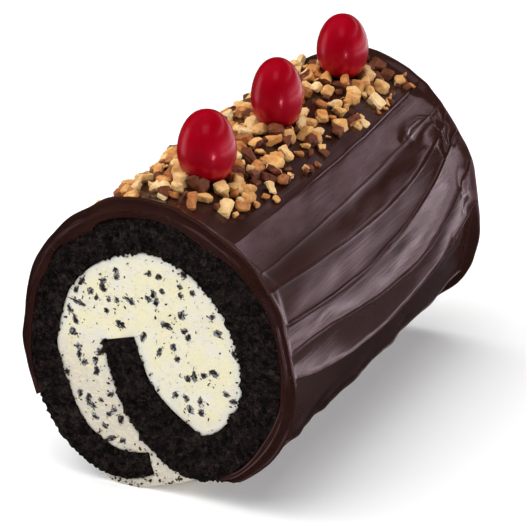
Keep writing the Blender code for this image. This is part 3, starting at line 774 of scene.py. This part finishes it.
def cream_depth(x, y, z, inward=1.0):
    """How far the cream's cut face lies behind the ends of the roll."""
    points = np.stack([x, 0 * x + y, z * 2.2], axis=-1)
    slow = 0.5 + 0.5 * noise(points, 8.0, 4)
    fine = 0.5 + 0.5 * noise(points, 1.7, 5)
    pit = np.clip(noise(points, 1.4, 6) - 0.3, 0, 1)
    return 0.25 + CREAM_DEPTH * (0.5 * slow + 0.4 * fine + 0.9 * pit) + 0.35 * (1 - inward)


def points_inside(outline):
    """An even net of points inside the outline, and how far each is from it."""
    low, high = outline.min(0), outline.max(0)
    columns = np.arange(low[0], high[0], CREAM_STEP)
    net = np.stack(np.meshgrid(columns, np.arange(low[1], high[1], CREAM_STEP)), axis=-1)
    net[1::2, :, 0] += CREAM_STEP / 2
    net = net.reshape(-1, 2)
    net = net[inside(outline, net)]
    away = np.full(len(net), np.inf)
    for point in outline[::2]:
        away = np.minimum(away, np.hypot(*(net - point).T))
    keep = away > CREAM_STEP * 0.7
    return net[keep], away[keep]


def turned_away(right, up, turn, half_length, half_width):
    """Distance from the middle of a turned ellipse, where its rim is at 1."""
    turn = math.radians(turn)
    along = (right * math.cos(turn) + up * math.sin(turn)) / half_length
    beside = (up * math.cos(turn) - right * math.sin(turn)) / half_width
    return np.hypot(along, beside)


def make_cream():
    rows = [(y, filling_outline(widening)) for y, widening in OOZE_STATIONS]
    middle = [(y, rows[-1][1]) for y in np.linspace(20, LENGTH - 20, 9)]
    rows = rows + middle + [(LENGTH - y, outline) for y, outline in reversed(rows)]
    count = len(rows[0][1])
    rows[0] = (CREAM_SINK, rows[0][1])
    rows[-1] = (LENGTH - CREAM_SINK, rows[-1][1])
    points = [place(x, y, z) for y, outline in rows for x, z in outline]
    inward = [0.0] * len(points)
    faces = lattice_faces(len(rows), count)
    outline = rows[0][1]
    net, away = points_inside(outline)
    edges = [(i, (i + 1) % count) for i in range(count)]
    flat = [Vector(p) for p in np.vstack([outline, net])]
    made = geometry.delaunay_2d_cdt(flat, edges, [], 1, 1e-6)
    share = np.clip(away / CREAM_EDGE, 0, 1)
    shade = [0.0] * len(points)
    # Closeness to the chips in front, for their ragged edges and the painted shadow round them on
    # the cream.
    to_chip = np.full(len(net), np.inf)
    for x, z, length, width, turn in CHIPS:
        reach = length / 2 + CHIP_SHADE, width / 2 + CHIP_SHADE
        to_chip = np.minimum(to_chip, turned_away(net[:, 0] - x, net[:, 1] - z, turn, *reach))
    for first, y in ((0, 0.0), (len(points) - count, LENGTH)):
        depth = cream_depth(net[:, 0], y, net[:, 1], share)
        at = y + depth if y == 0 else y - depth
        start = len(points)
        points += [place(x, v, z) for (x, z), v in zip(net, at)]
        inward += list(share)
        shade += list(np.exp(-((to_chip / 0.85) ** 2)) if y == 0 else 0 * share)
        index = [first + i if i < count else start + i - count for i in range(len(made[0]))]
        faces += [tuple(index[i] for i in face) for face in made[2]]
    x, _, z = np.array(points).T / MM
    # How much painted shade greys the cream, from below the axis and more to the left.
    low = CREAM_PAINTED_SHADE_SHARE * step_up(AXIS_HEIGHT - z - CREAM_PAINTED_SHADE_SLANT * x, *CREAM_PAINTED_SHADE)
    values = {"inward": inward, "shade": shade, "low": low}
    return mesh_object("cream", points, faces, cream_material(), values=values)


def add_hull(work, corners):
    """Adds the hull round the corners, without those that fall inside it."""
    hull = bmesh.ops.convex_hull(work, input=[work.verts.new(corner) for corner in corners])
    spare = set(hull["geom_interior"]) | set(hull["geom_unused"])
    bmesh.ops.delete(work, geom=[v for v in spare if v.is_valid], context="VERTS")


def add_chip(work, middle, size, turn, draw):
    """Adds a flat angular splinter with its long side turned in the cut face."""
    turned = Matrix.Rotation(-turn, 3, "Y")
    corners = []
    for _ in range(CHIP_CORNERS):
        way = Vector([draw.gauss(0, 1) for _ in range(3)]).normalized() * draw.uniform(0.75, 1.15)
        local = Vector((way.x * size[0], way.y * CHIP_HEIGHT, way.z * size[1])) / 2
        corners.append(middle + turned @ local * MM)
    add_hull(work, corners)


def chip_sizes(draw, net, away):
    """Every chip and crumb as face, x, z, length, width and turn."""
    for x, z, length, width, turn in CHIPS:
        turn = math.radians(turn)
        yield 0, x, z, length * CHIP_RAGGED[0], width * CHIP_RAGGED[1], turn
        for _ in range(CHIP_SPLINTERS):
            along, beside = draw.gauss(0, length * 0.55), draw.gauss(0, width * 0.5 + 0.4)
            at_x = x + along * math.cos(turn) - beside * math.sin(turn)
            at_z = z + along * math.sin(turn) + beside * math.cos(turn)
            long = draw.uniform(*CHIP_CRUMB_LENGTH)
            yield 0, at_x, at_z, long, long * draw.uniform(0.2, 0.5), turn + draw.gauss(0, 0.4)
    anywhere = np.arange(len(away))
    by_the_sponge, low_down = np.flatnonzero(away < 2.0), np.flatnonzero(net[:, 1] < -44)
    spots = anywhere, anywhere, by_the_sponge, anywhere, anywhere, low_down
    for end in (0, 1):
        for number in range(CHIP_CRUMBS):
            near = spots[number % len(spots)]
            x, z = net[near[draw.randrange(len(near))]]
            long = draw.uniform(*CHIP_CRUMB_LENGTH)
            if end and draw.random() < CHIP_BEHIND[0]:
                long *= CHIP_BEHIND[1]
            yield end, x, z, long, long * draw.uniform(0.25, 0.7), draw.uniform(0, math.pi)


def make_chips():
    """The chips measured in front, and seeded crumbs of them on both cut faces."""
    draw = random.Random(CHIP_SEED)
    net, away = points_inside(filling_outline(0.0))
    work = bmesh.new()
    small = []
    for end, x, z, length, width, turn in chip_sizes(draw, net, away):
        y = 0.1 + float(cream_depth(np.array([x]), end * LENGTH, np.array([z]))[0])
        at = place(x, LENGTH - y if end else y, z)
        add_chip(work, at, (length, width), turn, draw)
        small += [float(length < CHIP_SMALL)] * (len(work.verts) - len(small))
    work.verts.index_update()
    points = [tuple(v.co) for v in work.verts]
    faces = [[v.index for v in f.verts] for f in work.faces]
    work.free()
    return mesh_object("chips", points, faces, chip_material(), values={"small": small})


# ---------------------------------------------------------------- the coating


def step_up(value, low, high):
    """0 below low, 1 above high, and smooth between them."""
    share = np.clip((value - low) / (high - low), 0, 1)
    return share * share * (3 - 2 * share)


def eased(angle, stations):
    """Eases between the values of two neighbouring stations."""
    at, values = np.array(stations).T
    i = np.clip(np.searchsorted(at, angle) - 1, 0, len(at) - 2)
    share = np.clip((angle - at[i]) / (at[i + 1] - at[i]), 0, 1)
    return values[i] + (values[i + 1] - values[i]) * share * share * (3 - 2 * share)


def ridge_angle(number, y, wander=0.0):
    """A smooth curve through the ridge's four angles."""
    front, third, two_thirds, back = RIDGES[number][0]
    t = 3 * y / LENGTH
    bend = front - 2 * third + two_thirds
    twist = back - 3 * two_thirds + 3 * third - front
    curve = front + t * (third - front) + t * (t - 1) / 2 * bend
    curve = curve + t * (t - 1) * (t - 2) / 6 * twist
    return curve + wander * line_noise(y, 11.0, number)


def bowl(share, deepest):
    """Depth across a hollow, as a share of its deepest."""
    low, high = 2 * deepest, 2 - 2 * deepest
    return (share / deepest) ** low * ((1 - share) / (1 - deepest)) ** high


def ridge_look(number, y, fine):
    """How strong a ridge is, and how far the stroke above it stands out."""
    if not fine:
        return 1.0, SHINGLE
    strength, shingle = RIDGE_LOOKS.get(number, (1.0, SHINGLE))
    there = step_up(y, *RIDGE_FADES[number]) if number in RIDGE_FADES else 1.0
    strength = strength * (1 + RIDGE_UNEVEN * line_noise(y, 5.0, number)) * there
    return strength, shingle * there + SHINGLE_UNEVEN * line_noise(y, 22.0, 60 + number)


def stroke_height(number, share, width, y, fine):
    """Height of the surface across a stroke, from the ridge below it to the one above."""
    _, hollow, deepest = RIDGES[number]
    wide = np.minimum(1.0, width / 8)
    below, above = [ridge_look(number + i, y, fine) for i in (0, 1)]
    height = -hollow * width * bowl(share, deepest)
    height = height + wide * 0.5 * (below[1] * (1 - share) - above[1] * share)
    for at, strength in ((share, below[0]), (1 - share, above[0])):
        ridge = np.exp(-((at * width / RIDGE_WIDTH) ** 2))
        height = height + RIDGE_RISE * strength * wide * ridge
    start = STROKE_START_FINE if fine else STROKE_START
    return height * step_up(y, *start) * step_up(LENGTH - y, *start)


def lip_rise(angle, y, fine):
    """Height of the raised lip at each end, above the strokes."""
    at, spread, reach = LIP_FLARE
    flare = reach * np.exp(-(((angle - at) / spread) ** 2))
    width = eased(angle, LIP_WIDTHS) if fine else LIP_WIDTH
    front = eased(angle, LIP_RISE) * np.exp(-((np.maximum(0.0, y - flare) / width) ** 2))
    back = eased(angle, LIP_RISE_BEHIND) * np.exp(-(((LENGTH - y) / width) ** 2))
    return front + back


def coating_radius(number, share, y, fine=0.0):
    """The coating's angle and outer radius, where share of the stroke's width lies below."""
    wander = RIDGE_WANDER * fine
    low, high = ridge_angle(number, y, wander), ridge_angle(number + 1, y, wander)
    angle = low * (1 - share) + high * share
    thickness = eased(angle, COATING)
    width = np.radians(high - low) * (sponge_radius(angle) + thickness)
    relief = stroke_height(number, share, width, y, fine) * np.minimum(1.0, thickness / 4)
    return angle, sponge_radius(angle) + thickness + relief + lip_rise(angle, y, fine)


def to_line(y, along, stations):
    """Distance of points on the coating from a line through stations, each y and angle."""
    nearest_yet = np.full(y.shape, np.inf)
    for (y1, a1), (y2, a2) in zip(stations, stations[1:]):
        start = np.array((y1, math.radians(a1) * COATING_REACH))
        run = np.array((y2, math.radians(a2) * COATING_REACH)) - start
        share = ((y - start[0]) * run[0] + (along - start[1]) * run[1]) / (run @ run)
        share = np.clip(share, 0, 1)
        away = np.hypot(y - start[0] - share * run[0], along - start[1] - share * run[1])
        nearest_yet = np.minimum(nearest_yet, away)
    return nearest_yet


def fine_relief(angle, radius, y):
    """What the spatula left on the strokes: marks, hollows, and slow and fine waves."""
    x, z = np.moveaxis(polar(angle, radius), -1, 0)
    relief = -WAVE_SINK
    for seed, (height, size, stretch) in enumerate(WAVES, 7):
        relief = relief + height * noise(np.stack([x, y * stretch, z], axis=-1), size, seed)
    along = np.radians(angle) * COATING_REACH
    for stations, half_width, height in CREASES:
        relief = relief + height * np.exp(-((to_line(y, along, stations) / half_width) ** 2))
    for at_y, at_angle, half_length, half_width, turn, depth in HOLLOWS:
        up = along - math.radians(at_angle) * COATING_REACH
        away = turned_away(y - at_y, up, turn, half_length, half_width)
        share, at, spread = HOLLOW_RIM
        rim = share * np.exp(-(((away - at) / spread) ** 2))
        relief = relief + depth * (rim - np.exp(-(away**2)))
    lower_edge = step_up(-angle, *LOWER_EDGE) * step_up(y, *LOWER_EDGE_START)
    return relief + LOWER_EDGE_WAVE * lower_edge * line_noise(y, 8.0, 40)


def lip_shape(angle, up, thickness):
    """How far the lip stands out past the sponge, and how far it hangs over it."""
    full = LIP_REACH * np.minimum(1, 1.5 * np.sin(np.pi * up) ** 0.6)
    for number, (at, spread, height) in enumerate(LIP_FOLDS):
        uneven = 0.85 + 0.35 * line_noise(angle, 6.0, 3 + 20 * number)
        middle = at + 0.05 * (1 - at) * line_noise(angle, 5.0, 4 + 20 * number)
        full = full + uneven * height * np.exp(-(((up - middle) / spread) ** 2))
    along = np.radians(angle) * SPONGE_REACH
    front = np.stack(np.broadcast_arrays(along, up * thickness, 0.0), axis=-1)
    full = full + LIP_ROUGH * noise(front, 4.0, 17)
    hang = LIP_WAVE * (0.4 + line_noise(angle, 9.0, 5))
    for at, spread, length in LIP_TONGUES:
        hang = hang + length * np.exp(-(((angle - at) / spread) ** 2))
    low = np.clip(1 - 2.2 * up, 0, 1)
    full = full + 0.30 * np.clip(hang, 0, 1.5) * low * (up > 0)
    thin = np.minimum(1, thickness / 4)
    return np.clip(full * thin, 0, LIP_MOST), np.clip(hang, -0.2, 5) * low


def coating_columns():
    """Each stroke and the shares of its width that get a column, closer beside its ridges."""
    for number in range(len(RIDGES) - 1):
        span = np.mean(np.subtract(RIDGES[number + 1][0], RIDGES[number][0]))
        steps = math.ceil(math.radians(span) * SPONGE_REACH / COATING_STEP)
        for step in range(steps + (number == len(RIDGES) - 2)):
            turn = 2 * math.pi * step / steps
            yield number, step / steps - COLUMN_CLOSING * math.sin(turn) / (2 * math.pi)


def make_coating():
    """Loops once round the coating's section: front lip, side, back lip, inside."""
    side = np.linspace(0, LENGTH, int(LENGTH / COATING_STEP) + 1)
    part = np.linspace(0, LIP_TOP_ROW, LIP_ROWS)
    inner = np.linspace(LENGTH, 0, LINING_ROWS + 1)[1:-1]
    y = np.concatenate([0 * part, side, 0 * part + LENGTH, inner])
    up = np.concatenate([part, 0 * side + 1, part[::-1], 0 * inner])
    end = np.concatenate([0 * part - 1, 0 * side, 0 * part + 1, 0 * inner])
    columns = [coating_radius(number, share, y, fine=1.0) for number, share in coating_columns()]
    angle, outside = np.array(columns).transpose(1, 0, 2)
    within = sponge_radius(angle) + GAP
    room = np.maximum(outside - within - 0.5, 0)
    outside = outside + np.maximum(fine_relief(angle, outside, y[None] + 0 * angle), -room)
    thickness = outside - within
    reach, hang = lip_shape(angle, up[None], thickness)
    radius = within + thickness * up - hang * (end != 0)
    ys = y + end * reach
    flat = polar(angle, radius)
    faces = lattice_faces(*angle.shape) + end_caps(ys, radius)
    points = placed(flat[..., 0], ys, flat[..., 1])
    at, spread, at_angle, spread_angle = DULL_PATCH
    dull = np.exp(-(((ys - at) / spread) ** 2) - ((angle - at_angle) / spread_angle) ** 2)
    dull = (dull * (end == 0)).reshape(-1)
    return mesh_object("coating", points, faces, chocolate_material(), values={"dull": dull})


def surface_radius(angle, y):
    """Outer radius of the solid coating at any point of its side."""
    for number in range(len(RIDGES) - 1):
        low, high = ridge_angle(number, y), ridge_angle(number + 1, y)
        if angle <= high:
            share = max(0.0, (angle - low) / (high - low))
            return float(coating_radius(number, share, y)[1])
    return float(coating_radius(len(RIDGES) - 2, 1.0, y)[1])


# ---------------------------------------------------------------- cherries and nuts


def cherry_middle(y, height):
    angle = 90 - math.degrees(math.asin(CHERRY_X / TOP_REACH))
    top = surface_radius(angle, y) * math.sin(math.radians(angle))
    return CHERRY_X, y, top - CHERRY_SINK + height / 2


def make_cherry(name, node, y, width, height, finish):
    """An egg shape that stands on its wide end, a little uneven."""
    x, y, z = cherry_middle(y, height)
    turn, fall = np.meshgrid(
        np.arange(CHERRY_SEGMENTS) * 2 * np.pi / CHERRY_SEGMENTS,
        np.linspace(0, np.pi, CHERRY_RINGS + 1)[1:-1],
    )
    up = np.cos(fall)
    radius = (width / 2) * np.sin(fall) ** CHERRY_FULLNESS * (1 - CHERRY_EGG * up)
    points = np.stack([radius * np.cos(turn), radius * np.sin(turn), up * height / 2], axis=-1)
    uneven = CHERRY_UNEVEN / width * (0.5 + 0.5 * noise(points, 9.0, round(y)))
    points = (points * (1 - CHERRY_INSET - uneven)[..., None]).reshape(-1, 3)
    faces = lattice_faces(CHERRY_RINGS - 1, CHERRY_SEGMENTS)
    top = len(points)
    for pole, first in ((top, 0), (top + 1, top - CHERRY_SEGMENTS)):
        ring = [first + j for j in range(CHERRY_SEGMENTS)]
        faces += [(pole, a, b) for a, b in zip(ring, ring[1:] + ring[:1])]
    pole = height / 2 * (1 - CHERRY_INSET)
    points = np.vstack([points, [0, 0, pole], [0, 0, -pole]])
    points = placed(points[:, 0] + x, points[:, 1] + y, points[:, 2] + z)
    return finished(mesh_object(name, points, faces, finish), "cherry", node)


def clear_of_cherries(corners):
    """True if no corner of a nut is in or right beside a cherry."""
    for y, width, height in CHERRIES:
        middle = place(*cherry_middle(y, height))
        wide = (width / 2 * (1.04 + CHERRY_EGG / 2) + 2 * GAP) * MM
        tall = (height / 2 + 2 * GAP) * MM
        for corner in corners:
            away = corner - middle
            if (away.x**2 + away.y**2) / wide**2 + away.z**2 / tall**2 < 1:
                return False
    return True


def clear_of_sponge(corner):
    """The corner, moved out into the coating where it would reach the sponge."""
    across = Vector((corner.x / MM - AXIS_X, corner.z / MM - AXIS_HEIGHT))
    least = sponge_radius(math.degrees(math.atan2(across.y, across.x))) + 3 * GAP
    if across.length < least:
        across *= least / across.length
    return Vector(((across.x + AXIS_X) * MM, corner.y, (across.y + AXIS_HEIGHT) * MM))


def nut_corners(draw, angle, y, size):
    """Corners of one chopped piece that lies on the coating."""
    x, z = polar(angle, surface_radius(angle, y) + size[2] * (0.5 - NUT_SINK))
    turn = Euler(
        (
            math.radians(draw.uniform(-NUT_TILT, NUT_TILT)),
            math.radians(draw.uniform(-NUT_TILT, NUT_TILT) + 90 - angle),
            0,
        )
    ).to_matrix()
    turn = turn @ Matrix.Rotation(draw.uniform(0, 2 * math.pi), 3, "Z")
    corners = []
    for sides in draw.sample(list(itertools.product((-1, 1), repeat=3)), NUT_CORNERS):
        reach = [side * edge / 2 * draw.uniform(*NUT_CHIP) for side, edge in zip(sides, size)]
        corners.append(clear_of_sponge(place(x, y, z) + turn @ Vector(reach) * MM))
    return corners


def scattered_nuts():
    """Corner lists of all nuts: drawn at random over the band, no two too close."""
    draw = random.Random(NUT_SEED)
    taken, found = [], []
    for _ in range(NUT_TRIES):
        if len(found) == NUT_COUNT:
            break
        angle = draw.uniform(*NUT_BAND)
        y = draw.uniform(NUT_END_MARGIN, LENGTH - NUT_END_MARGIN)
        if y < NUT_END_MARGIN + NUT_END_SLANT * (90 - angle):
            continue
        size = draw.uniform(*NUT_LENGTH), draw.uniform(*NUT_WIDTH), draw.uniform(*NUT_HEIGHT)
        along = math.radians(angle) * surface_radius(90, LENGTH / 2)
        near = [math.hypot(along - a, y - b) < NUT_SPACING * (size[0] + s) / 2 for a, b, s in taken]
        if any(near):
            continue
        corners = nut_corners(draw, angle, y, size)
        if clear_of_cherries(corners):
            taken.append((along, y, size[0]))
            found.append(corners)
    return found


def nut_bits():
    """Corners of the pieces at the cherries' feet and of the small bits between the nuts."""
    draw = random.Random(NUT_BITS_SEED)
    for cherry_y, width, _ in CHERRIES:
        for number in range(NUT_FOOT):
            turn = 2 * math.pi * number / NUT_FOOT + draw.uniform(-0.2, 0.2)
            away = width * NUT_FOOT_AWAY * draw.uniform(0.9, 1.1)
            angle = math.degrees(math.acos((CHERRY_X + away * math.cos(turn)) / TOP_REACH))
            size = [draw.uniform(*edge) for edge in NUT_FOOT_SIZE]
            yield nut_corners(draw, angle, cherry_y + away * math.sin(turn), size), *NUT_BREAK
    found = 0
    while found < NUT_BITS:
        angle = draw.uniform(*NUT_BIT_BAND)
        first = NUT_END_MARGIN + max(-2.0, NUT_END_SLANT * (90 - angle))
        y = draw.uniform(first, LENGTH - NUT_END_MARGIN + 2)
        corners = nut_corners(draw, angle, y, [draw.uniform(*edge) for edge in NUT_BIT_SIZE])
        if clear_of_cherries(corners):
            found += 1
            yield corners, *NUT_BIT_BREAK


def nut_lump(corners, seed, broken, cuts):
    """A rough closed lump round the corners: its points and faces, in millimetres."""
    work = bmesh.new()
    add_hull(work, [corner / MM for corner in corners])
    edges = work.edges[:] + work.verts[:]
    bmesh.ops.bevel(
        work, geom=edges, offset=broken, segments=1, affect="EDGES", clamp_overlap=True
    )
    bmesh.ops.triangulate(work, faces=work.faces)
    bmesh.ops.subdivide_edges(work, edges=work.edges[:], cuts=cuts, use_grid_fill=True)
    bmesh.ops.triangulate(work, faces=work.faces)
    bmesh.ops.remove_doubles(work, verts=work.verts, dist=0.02)
    bmesh.ops.smooth_vert(work, verts=work.verts, factor=0.2)
    work.normal_update()
    spots = np.array([v.co for v in work.verts])
    normals = np.array([v.normal for v in work.verts])
    rough = -NUT_WORN
    for number, (height, size) in enumerate(NUT_ROUGH):
        rough = rough + height * noise(spots, size, seed + number)
    faces = [[v.index for v in f.verts] for f in work.faces]
    ways = [f.normal.copy() for f in work.faces]
    work.free()
    return spots + normals * (rough * min(1, broken / NUT_FULLY_ROUGH))[:, None], faces, ways


def make_nuts():
    """All nuts and bits in one mesh; some keep brown skin on one side."""
    draw = random.Random(NUT_SEED + 1)
    points, faces, kinds, tones = [], [], [], []
    lumps = [(corners, *NUT_BREAK) for corners in scattered_nuts()] + list(nut_bits())
    for number, (corners, broken, cuts) in enumerate(lumps):
        spots, sides, ways = nut_lump(corners, number, broken, cuts)
        tone = draw.choices(list(NUT_TONES), list(NUT_TONES.values()))[0]
        tone += draw.uniform(-0.08, 0.08)
        skin = draw.random() < NUT_SKINNED
        skin_side = Vector([draw.uniform(-1, 1) for _ in range(3)]).normalized()
        start = len(points)
        points += (spots * MM).tolist()
        tones += [tone] * len(spots)
        faces += [[start + i for i in side] for side in sides]
        kinds += [int(skin and way.dot(skin_side) > NUT_SKIN_SIDE) for way in ways]
    looks = nut_material(), nut_skin_material()
    obj = mesh_object("nuts", points, faces, *looks, kinds=kinds, values={"tone": tones})
    obj.data.set_sharp_from_angle(angle=math.radians(NUT_EDGE))
    return obj


# ---------------------------------------------------------------- the studio


def make_floor():
    half = FLOOR_SIZE / 2
    mesh = bpy.data.meshes.new("floor")
    corners = [(-half, -half, 0), (half, -half, 0), (half, half, 0), (-half, half, 0)]
    mesh.from_pydata(corners, [], [(0, 1, 2, 3)])
    mesh.materials.append(floor_material())
    floor = bpy.data.objects.new("floor", mesh)
    bpy.context.scene.collection.objects.link(floor)
    floor.visible_glossy = False


def softbox(name, at, size, power, lights, shines):
    light = bpy.data.lights.new(name, "AREA")
    light.shape = "RECTANGLE"
    light.size, light.size_y = size
    light.energy = power
    obj = bpy.data.objects.new(name, light)
    obj.location = at
    obj.rotation_mode = "QUATERNION"
    obj.rotation_quaternion = (Vector(LIT_POINT) - Vector(at)).to_track_quat("-Z", "Y")
    obj.visible_diffuse = lights
    obj.visible_glossy = shines
    bpy.context.scene.collection.objects.link(obj)


def wall_ramp(tree, way, axis, stops):
    """Brightness of the studio by how far the view turns towards an axis."""
    dot = tree.nodes.new("ShaderNodeVectorMath")
    dot.operation = "DOT_PRODUCT"
    dot.inputs[1].default_value = axis
    share = tree.nodes.new("ShaderNodeMapRange")
    share.inputs["From Min"].default_value = -1.0
    tree.links.new(way, dot.inputs[0])
    tree.links.new(dot.outputs["Value"], share.inputs["Value"])
    return ramp_node(tree, share.outputs["Result"], [((c + 1) / 2, grey) for c, grey in stops])


def times(tree, one, other):
    """The product of a link and of another one or a number."""
    node = tree.nodes.new("ShaderNodeMath")
    node.operation = "MULTIPLY"
    tree.links.new(one, node.inputs[0])
    if isinstance(other, float):
        node.inputs[1].default_value = other
    else:
        tree.links.new(other, node.inputs[1])
    return node.outputs[0]


def make_studio():
    make_floor()
    scene = bpy.context.scene
    scene.world = bpy.data.worlds.new("studio")
    scene.world.use_nodes = True
    tree = scene.world.node_tree
    way = tree.nodes.new("ShaderNodeTexCoord").outputs["Generated"]
    rise = [(math.sin(math.radians(e)), grey) for e, grey in WALL_RISE]
    up_and_down = wall_ramp(tree, way, (0, 0, 1), rise)
    round_about = wall_ramp(tree, way, Vector(WALL_HEADING).normalized(), WALL_ROUND)
    power = times(tree, times(tree, up_and_down, round_about), WALL_STRENGTH)
    background = tree.nodes["Background"]
    background.inputs["Color"].default_value = (*WALL_COLOUR, 1.0)
    tree.links.new(power, background.inputs["Strength"])
    for name, light in SOFTBOXES.items():
        softbox(name, *light)
    scene.view_settings.view_transform = "Standard"


def make_camera():
    data = bpy.data.cameras.new("camera")
    data.lens = CAMERA_LENS
    data.sensor_width = CAMERA_SENSOR
    data.clip_start, data.clip_end = 0.01, 50.0
    camera = bpy.data.objects.new("camera", data)
    turn, lift = math.radians(CAMERA_AZIMUTH), math.radians(CAMERA_ELEVATION)
    back = Vector(
        (math.sin(turn) * math.cos(lift), -math.cos(turn) * math.cos(lift), math.sin(lift))
    )
    camera.location = place(*CAMERA_AIM) + back * CAMERA_DISTANCE * MM
    camera.rotation_mode = "QUATERNION"
    camera.rotation_quaternion = (-back).to_track_quat("-Z", "Y")
    bpy.context.scene.collection.objects.link(camera)
    bpy.context.scene.camera = camera


make_camera()
make_studio()
finished(make_sponge(), "sponge", "sponge")
finished(make_cream(), "cream", "filling")
finished(make_chips(), "chocolate")
finished(make_coating(), "chocolate", "frosting")
finished(make_nuts(), "chocolate", "frosting")
red = cherry_material()
for number, cherry in enumerate(CHERRIES, 1):
    make_cherry(f"glace_cherry_{number}", f"cherry_{number}", *cherry, red)
